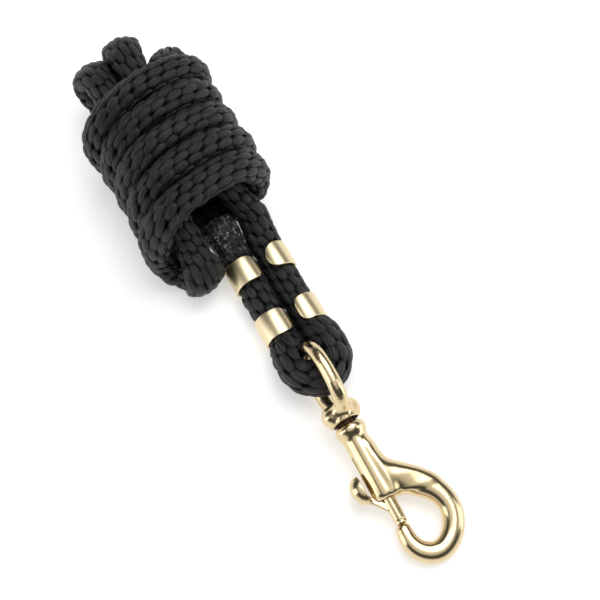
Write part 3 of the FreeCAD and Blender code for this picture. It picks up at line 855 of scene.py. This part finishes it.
def settle(field, points, cell, times):
    """Move points onto the zero level by short Newton steps."""
    for _ in range(times):
        value = field(points)
        slope = slopes(field, points)
        squared = np.maximum(np.einsum("ij,ij->i", slope, slope), 0.05)
        step = -(value / squared)[:, None] * slope
        length = np.linalg.norm(step, axis=1)
        step *= (np.minimum(length, 0.4 * cell) / np.maximum(length, 1e-9))[:, None]
        points = points + step
    return points


def iso_surface(field, low, high, cell):
    """Surface net of the field's zero level: one point per crossed cell, one quad per edge."""
    low, high = np.array(low, float), np.array(high, float)
    n = np.ceil((high - low) / cell).astype(int) + 1
    grid_x, grid_y, grid_z = (low[k] + cell * np.arange(n[k]) for k in range(3))
    values = np.empty(tuple(n), np.float32)
    slab_y, slab_z = np.meshgrid(grid_y, grid_z, indexing="ij")
    for i, x in enumerate(grid_x):
        points = np.stack([np.full(slab_y.size, x), slab_y.ravel(), slab_z.ravel()], 1)
        values[i] = field(points).reshape(n[1], n[2])
    inside = values < 0
    corners = list(product((0, 1), repeat=3))
    filled = np.zeros(tuple(n - 1), np.int8)
    for dx, dy, dz in corners:
        filled += inside[dx:n[0] - 1 + dx, dy:n[1] - 1 + dy, dz:n[2] - 1 + dz]
    crossed = (filled > 0) & (filled < 8)
    cells = np.stack(np.nonzero(crossed), 1)
    ids = np.full(crossed.shape, -1, np.int64)
    ids[tuple(cells.T)] = np.arange(len(cells))
    # each point starts at the mean of its cell's edge crossings
    total = np.zeros((len(cells), 3))
    count = np.zeros(len(cells))
    for a in range(8):
        for b in range(a + 1, 8):
            start, end = np.array(corners[a]), np.array(corners[b])
            if np.abs(start - end).sum() != 1:
                continue
            value_a = values[tuple((cells + start).T)]
            value_b = values[tuple((cells + end).T)]
            cut = (value_a < 0) != (value_b < 0)
            t = np.where(cut, value_a / np.where(cut, value_a - value_b, 1), 0)
            total += (start[None] + t[:, None] * (end - start)[None]) * cut[:, None]
            count += cut
    points = low + cell * (cells + total / count[:, None])

    quads = []
    for axis in range(3):
        second, third = (axis + 1) % 3, (axis + 2) % 3
        here = [slice(1, n[k] - 1) for k in range(3)]
        ahead = list(here)
        here[axis] = slice(0, n[axis] - 1)
        ahead[axis] = slice(1, n[axis])
        is_in, next_in = inside[tuple(here)], inside[tuple(ahead)]
        for leaving, edges in ((True, is_in & ~next_in), (False, ~is_in & next_in)):
            edge = np.array(np.nonzero(edges)).T
            edge[:, [second, third]] += 1
            quad = []
            for back_second, back_third in ((1, 1), (0, 1), (0, 0), (1, 0)):
                owner = edge.copy()
                owner[:, second] -= back_second
                owner[:, third] -= back_third
                quad.append(ids[tuple(owner.T)])
            quad = np.stack(quad, 1)
            quads.append(quad if leaving else quad[:, ::-1])
    quads = np.concatenate(quads)

    points = settle(field, points, cell, times=4)
    # relax inside the surface so the quads are even, then settle again
    a, b = np.concatenate([quads[:, [k, (k + 1) % 4]] for k in range(4)]).T
    size = len(points)
    neighbours = np.bincount(a, minlength=size) + np.bincount(b, minlength=size)
    for _ in range(3):
        sums = np.stack([np.bincount(a, points[b, k], size) + np.bincount(b, points[a, k], size)
                         for k in range(3)], 1)
        points = 0.5 * points + 0.5 * sums / neighbours[:, None]
        points = settle(field, points, cell, times=2)
    return points, quads


def nearest_on_line(points, line):
    """Distance to a polyline, with the nearest segment and the fraction along it."""
    line = np.asarray(line, float)
    best = np.full(len(points), 1e9)
    segment = np.zeros(len(points), int)
    fraction = np.zeros(len(points))
    for i in range(len(line) - 1):
        run = line[i + 1] - line[i]
        t = np.clip(((points - line[i]) @ run) / (run @ run), 0, 1)
        offset = points - line[i] - t[:, None] * run
        squared = np.einsum("ij,ij->i", offset, offset)
        closer = squared < best
        best[closer] = squared[closer]
        segment[closer] = i
        fraction[closer] = t[closer]
    return np.sqrt(best), segment, fraction


def between(value, start, end):
    """Negative from start to end."""
    return np.maximum(start - value, value - end)


def rod(radius, size, along, start, end):
    return np.maximum(radius - size, between(along, start, end))


def oval_distance(form, offsets, radii, least_slope):
    """Near distance to an oval where form is 1, scaled by its slope."""
    squares = sum((offset / size ** 2) ** 2 for offset, size in zip(offsets, radii))
    slope = np.sqrt(squares) / np.maximum(form, 1e-6)
    return (form - 1) / np.maximum(slope, least_slope)


def turned_profile(stations):
    """Fine (along, radius) columns from a few stations."""
    curve, knots = spline(stations)
    return curve(np.linspace(0, knots[-1], 400)).T


# along, radius
BOSS = turned_profile([(-10.5, 2.2), (-9.7, 4.6), (-7.7, 6.2), (-5.1, 6.6), (-2.6, 6.95),
                       (-0.5, 7.2)])
BARREL = turned_profile([(0.55, 5.2), (1.3, 6.5), (3.1, 7.15), (5.2, 6.7), (6.9, 6.02),
                         (9.5, 5.85), (20, 5.95), (33.5, 6.05), (35.8, 5.6), (36.9, 4.4)])
RING_LINE = np.stack([ring_along, np.zeros_like(ring_along), ring_z], 1)
RING_LINE = np.vstack([RING_LINE, RING_LINE[:1]])
LOBE_ALONG, LOBE_Y, LOBE_R = -5.35, 4.35, 4.9


def swivel_field(points):
    """The swivel eye: ring, turned boss, a lobe on each side, and the stud's socket."""
    along, y, z = points.T
    cos, sin = math.cos(RING_ROLL), math.sin(RING_ROLL)
    # undo the lean about the snap's length
    y, z = y * cos - z * sin, y * sin + z * cos
    upright = np.stack([along, y, z], 1)
    radius = np.hypot(y, z)
    ring = nearest_on_line(upright, RING_LINE)[0] - RING_WIRE_R
    boss = smax(radius - np.interp(along, *BOSS), -10.5 - along, blend=1.0)
    lobes = np.minimum(*(
        np.linalg.norm(upright - np.array((LOBE_ALONG, lobe_y, 0)), axis=1) - LOBE_R
        for lobe_y in (LOBE_Y, -LOBE_Y)))
    solid = smin(smin(boss, lobes, blend=1.6), ring, blend=3.0)
    # the face towards the barrel, slightly slanted
    solid = smax(solid, along + 0.65 + 0.085 * z, blend=0.5)
    socket = rod(radius, 4.95, along, -8.6, -4.45)
    hole = np.maximum(radius - 3.30, -8.6 - along)
    cone = np.maximum((radius - (4.9 + (along + 3.0) * 0.40)) * 0.93, -3.0 - along)
    return smax(solid, -np.minimum(np.minimum(socket, hole), cone), blend=0.15)


# along, y, half width in that plane, half thickness in z; from the barrel to the tip
HOOK = np.array([
    (22.0, -0.2, 4.6, 4.8), (26.5, 2.9, 5.9, 5.2), (31.0, 8.6, 6.6, 5.1),
    (36.8, 15.0, 6.3, 4.9), (43.4, 20.0, 5.3, 4.6), (51.6, 22.03, 4.9, 4.5),
    (59.9, 19.3, 4.9, 4.5), (65.1, 13.7, 4.9, 4.5), (66.6, 8.4, 4.9, 4.5),
    (64.2, 2.7, 4.75, 4.45), (59.5, -0.45, 4.35, 4.3), (54.9, -1.05, 3.9, 4.0),
    (51.6, -0.85, 3.45, 3.6), (50.3, -0.78, 3.0, 3.1)])
hook_curve, hook_knots = spline(HOOK[:, :2])
hook_at = np.linspace(0, hook_knots[-1], 130)
hook_line = hook_curve(hook_at)
hook_width, hook_thick = (box_blur(np.interp(hook_at, hook_knots, HOOK[:, k]), 9)
                          for k in (2, 3))
HOOK_POWER = 2.15


def hook_field(points):
    off_line, segment, fraction = nearest_on_line(points[:, :2], hook_line)
    width, thick = (sizes[segment] + (sizes[segment + 1] - sizes[segment]) * fraction
                    for sizes in (hook_width, hook_thick))
    z = np.abs(points[:, 2])
    form = ((off_line / width) ** HOOK_POWER + (z / thick) ** HOOK_POWER) ** (1 / HOOK_POWER)
    return oval_distance(form, (np.maximum(off_line, 1e-6), z), (width, thick), 0.12)


# along, y: outer side of the barrel and the hook's arm where they run together
ARM_OUTSIDE = np.array([
    (8.0, 5.4), (13.0, 5.7), (16.5, 6.1), (20.1, 7.2), (22.9, 8.8), (25.8, 11.1),
    (28.7, 13.9), (31.5, 16.7), (34.4, 19.3), (37.3, 21.6), (42.0, 24.0)])
ARM_INSIDE = 5.6                     # reach towards -Y
ARM_POWER = 2.35


def shoulder_field(points):
    """The full, oval form between the barrel and the hook's arm."""
    along, y, z = points.T
    outside = np.interp(along, *ARM_OUTSIDE.T)
    half = (outside + ARM_INSIDE) / 2
    thick = 5.35 - 1.9 * smoothstep(28.5, 37.0, along) * smoothstep(2, 9, y)
    off_y = y - (outside - ARM_INSIDE) / 2
    form = ((np.abs(off_y) / half) ** ARM_POWER
            + (np.abs(z) / thick) ** ARM_POWER) ** (1 / ARM_POWER)
    solid = oval_distance(form, (off_y, z), (half, thick), 0.06)
    # the throat: the barrel's end, then the inside of the bend
    throat = (along - 36.6 - 0.10 * np.maximum(y - 4, 0)) * 0.99
    return smax(smax(solid, throat, blend=2.0), 12.0 - along, blend=2.5)


def body_field(points):
    """The snap's body: barrel, hook, shoulder and the headed stud in the swivel."""
    along, y, z = points.T
    radius = np.hypot(y, z)
    barrel = radius - np.interp(along, *BARREL)
    barrel = smax(smax(barrel, along - 36.9, blend=0.9), 0.55 - along, blend=0.6)
    near = along > 13
    hook = np.full(len(points), 50.0)
    if near.any():
        hook[near] = hook_field(points[near])
    # the tip's flat end; the two offsets keep it off the arm and the shoulder
    hook = smax(hook, 49.35 - along - 60 * (y > 6) - 60 * (along < 42), blend=1.9)
    # the bolt's seat in the tip
    hook = smax(hook, -rod(radius, 2.15, along, 47.0, 50.6), blend=0.5)
    hook = smin(hook, shoulder_field(points), blend=0.3 + 3.2 * smoothstep(0.5, 4.0, y))
    solid = smin(barrel, hook, blend=0.3 + 3.4 * smoothstep(-0.5, 3.5, y))
    stud = rod(radius, 3.22, along, -8.2, 2.2)
    head = smax(radius - 4.60, between(along, -8.2, -4.75), blend=0.5)
    solid = np.minimum(solid, smin(stud, head, blend=0.4))
    bore = rod(radius, 2.87, along, 11.0, 38.1)
    # the bolt arm's slot, open towards -Y
    slot = np.maximum(np.abs(z) - 1.65, np.maximum(between(along, 14.5, 40.5), y))
    return smax(solid, -np.minimum(bore, slot), blend=0.35)


# along, y
BOLT_ARM = [(40.6, -2.3), (37.2, -4.6), (33.4, -8.0), (31.5, -9.6)]
THUMB_ALONG, THUMB_Y = 28.9, -7.7
THUMB_HALF_WIDTH, THUMB_HALF_THICK = 5.7, 4.6


def bolt_field(points):
    """The sliding bolt: pin, arm and thumb piece."""
    along, y, z = points.T
    radius = np.hypot(y, z)
    pin = smax(radius - 2.80, between(along, 31.0, 49.2), blend=0.9)
    tip = smax(radius - 1.75, between(along, 46.0, 50.25), blend=0.7)
    pin = smin(pin, tip, blend=0.5)
    # groove round the pin, short of its tip
    pin = smax(pin, -(np.hypot(along - 47.6, radius - 3.35) - 0.62), blend=0.3)
    arm = nearest_on_line(points[:, :2], BOLT_ARM)[0] - 1.35
    arm = smax(arm, np.abs(z) - 1.55, blend=0.5)
    solid = smin(pin, arm, blend=0.15)
    # thumb: a lens, full on its outer side and cut flat towards the barrel
    off_x = along - THUMB_ALONG - 0.10 * (y + 7.9)
    off_y = y - THUMB_Y
    half_length = np.where(off_x < 0, 6.9, 6.8)
    form = ((np.abs(off_x) / half_length) ** 2.0 + (np.abs(off_y) / THUMB_HALF_WIDTH) ** 2.0
            + (np.abs(z) / THUMB_HALF_THICK) ** 2.2) ** 0.5
    thumb = oval_distance(form, (off_x, off_y, z),
                          (half_length, THUMB_HALF_WIDTH, THUMB_HALF_THICK), 0.12)
    return smin(solid, smax(thumb, off_y, blend=0.8), blend=1.2)


CAST_CELL = 0.27
# name, field, low and high corner of its box, body, CAD piece, dark recess (dirt and painted
# shade): radius, from, to along
CAST_PIECES = [
    ("swivel_eye_cast", swivel_field, (-42, -11.5, -18), (1.0, 11.5, 18), "eye", "swivel_eye",
     (6.2, -9.0, math.inf)),
    ("snap_body_cast", body_field, (-9.2, -8.6, -8.2), (73.5, 29.0, 8.2), "snap", "snap_body",
     (4.4, -math.inf, 0.62)),
    ("bolt_cast", bolt_field, (21.5, -15.5, -5.8), (51.2, 4.4, 5.8), "bolt", "bolt",
     (0.0, 0.0, 0.0)),
]
for name, field, low, high, body, cad_name, (recess_dark_r, recess_dark_from, recess_dark_to) in CAST_PIECES:
    points, quads = iso_surface(field, low, high, CAST_CELL)
    along, y, z = points.T
    # mask of the dark recess: dirt and oxide there, with painted shade
    recess_dirt_and_shade = (np.hypot(y, z) < recess_dark_r) & (along > recess_dark_from) & (along < recess_dark_to)
    ob = make_mesh(name, to_layout(points), quads, attributes={"recess_dirt_and_shade": recess_dirt_and_shade.astype(float)})
    dress(ob, snap_mat, "snap_brass", cad_name)
    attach(ob, body)

# ---------------------------------------------------------------------------
# the spring in the barrel
# ---------------------------------------------------------------------------
SPRING_TURNS, SPRING_R, SPRING_WIRE_R = 9, 2.30, 0.30
SPRING_START, SPRING_END = 11.5, 30.3
WIRE_SIDES = 10


def unit(vectors):
    return vectors / np.linalg.norm(vectors, axis=1)[:, None]


def spring_piece():
    t = np.linspace(0, 1, SPRING_TURNS * 28 + 1)
    # the coils close up at both ends
    rise = np.interp(t, [0, 0.06, 0.94, 1], [0, 0.02, 0.98, 1])
    cos, sin = (turn(2 * math.pi * SPRING_TURNS * t) for turn in (np.cos, np.sin))
    centre = np.stack([SPRING_START + (SPRING_END - SPRING_START) * rise,
                       SPRING_R * cos, SPRING_R * sin], 1)
    forward = unit(np.gradient(centre, axis=0))
    normal = np.stack([np.zeros(len(t)), cos, sin], 1)
    normal = unit(normal - np.einsum("ij,ij->i", normal, forward)[:, None] * forward)
    binormal = np.cross(forward, normal)
    angle = 2 * math.pi * np.arange(WIRE_SIDES) / WIRE_SIDES
    rings = centre[:, None] + SPRING_WIRE_R * (
        np.cos(angle)[None, :, None] * normal[:, None]
        + np.sin(angle)[None, :, None] * binormal[:, None])
    vertices = np.vstack([rings.reshape(-1, 3), centre[:1], centre[-1:]])
    return make_mesh("spring_coil", to_layout(vertices), *tube_faces(len(t), WIRE_SIDES))


spring = spring_piece()
dress(spring, steel_mat, "spring_steel", "spring")
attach(spring, "snap")
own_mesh(spring)

# ---------------------------------------------------------------------------
# stage, light, camera (metres)
# ---------------------------------------------------------------------------
FLOOR_HALF, FLOOR_Z = 4, -0.0002
floor_mesh = bpy.data.meshes.new("floor")
floor_mesh.from_pydata([(x * FLOOR_HALF, y * FLOOR_HALF, FLOOR_Z)
                        for x, y in ((-1, -1), (1, -1), (1, 1), (-1, 1))], [], [(0, 1, 2, 3)])
floor = bpy.data.objects.new("floor", floor_mesh)
bpy.context.scene.collection.objects.link(floor)
floor_mat, floor_shader = new_material("floor_paper")
floor_shader.set_surface({
    "Base Color": (0.90, 0.90, 0.90), "Roughness": 0.9, "Specular IOR Level": 0.1,
    "Emission Color": (1.0, 1.0, 1.0), "Emission Strength": 0.42})
floor_mesh.materials.append(floor_mat)

# height in the sky's coordinate, brightness there
SKY = [(0.0, 0.95), (0.20, 0.90), (0.33, 0.22), (0.45, 0.07), (0.77, 0.07), (0.88, 0.65),
       (1.0, 1.0)]
world = bpy.data.worlds.new("studio")
bpy.context.scene.world = world
world.use_nodes = True
sky = Shader(world.node_tree)
sky_place = sky.node("SeparateXYZ", {0: sky.node("TexCoord").outputs["Generated"]})
sky_colour = sky.ramp(sky_place.outputs["Z"],
                      [(height, (grey, grey, grey * 0.99)) for height, grey in SKY])
background = sky.node("Background", {0: sky_colour, 1: 1.0})
sky.node("OutputWorld", {0: background.outputs[0]})


def add_area_light(name, location, target, energy, size, size_y=None):
    light = bpy.data.lights.new(name, "AREA")
    light.energy = energy
    light.size = size
    if size_y:
        light.shape = "RECTANGLE"
        light.size_y = size_y
    ob = bpy.data.objects.new(name, light)
    ob.location = location
    ob.rotation_mode = "QUATERNION"
    ob.rotation_quaternion = (Vector(target) - Vector(location)).to_track_quat("-Z", "Y")
    bpy.context.scene.collection.objects.link(ob)


add_area_light("top_soft", (-0.25, 0.35, 1.15), (0, 0, 0), energy=7.0, size=0.95)
add_area_light("side_soft_left", (-0.1, -1.25, 0.50), (0, 0, 0.02),
               energy=4.0, size=0.55, size_y=1.3)
add_area_light("side_soft_right", (0.55, 1.2, 0.55), (0, 0, 0.02),
               energy=4.0, size=0.55, size_y=1.3)

CAMERA_AZIMUTH, CAMERA_ELEVATION = math.radians(61.2), math.radians(67.5)
CAMERA_DISTANCE = 0.620
VIEW_WIDTH = 0.273                   # seen at the target
SENSOR_WIDTH = 36.0                  # millimetres
target = Vector((0.009132, 0.019642, 0.010))
towards_camera = Vector((math.sin(CAMERA_AZIMUTH) * math.cos(CAMERA_ELEVATION),
                         -math.cos(CAMERA_AZIMUTH) * math.cos(CAMERA_ELEVATION),
                         math.sin(CAMERA_ELEVATION)))
camera_data = bpy.data.cameras.new("camera")
camera_data.sensor_width = SENSOR_WIDTH
camera_data.lens = SENSOR_WIDTH * CAMERA_DISTANCE / VIEW_WIDTH
camera_data.clip_start = 0.01
camera_data.clip_end = 20.0
camera = bpy.data.objects.new("camera", camera_data)
camera.rotation_mode = "QUATERNION"
camera.location = target + towards_camera * CAMERA_DISTANCE
camera.rotation_quaternion = (-towards_camera).to_track_quat("-Z", "Y")
bpy.context.scene.collection.objects.link(camera)
bpy.context.scene.camera = camera
bpy.context.scene.view_settings.view_transform = "Standard"
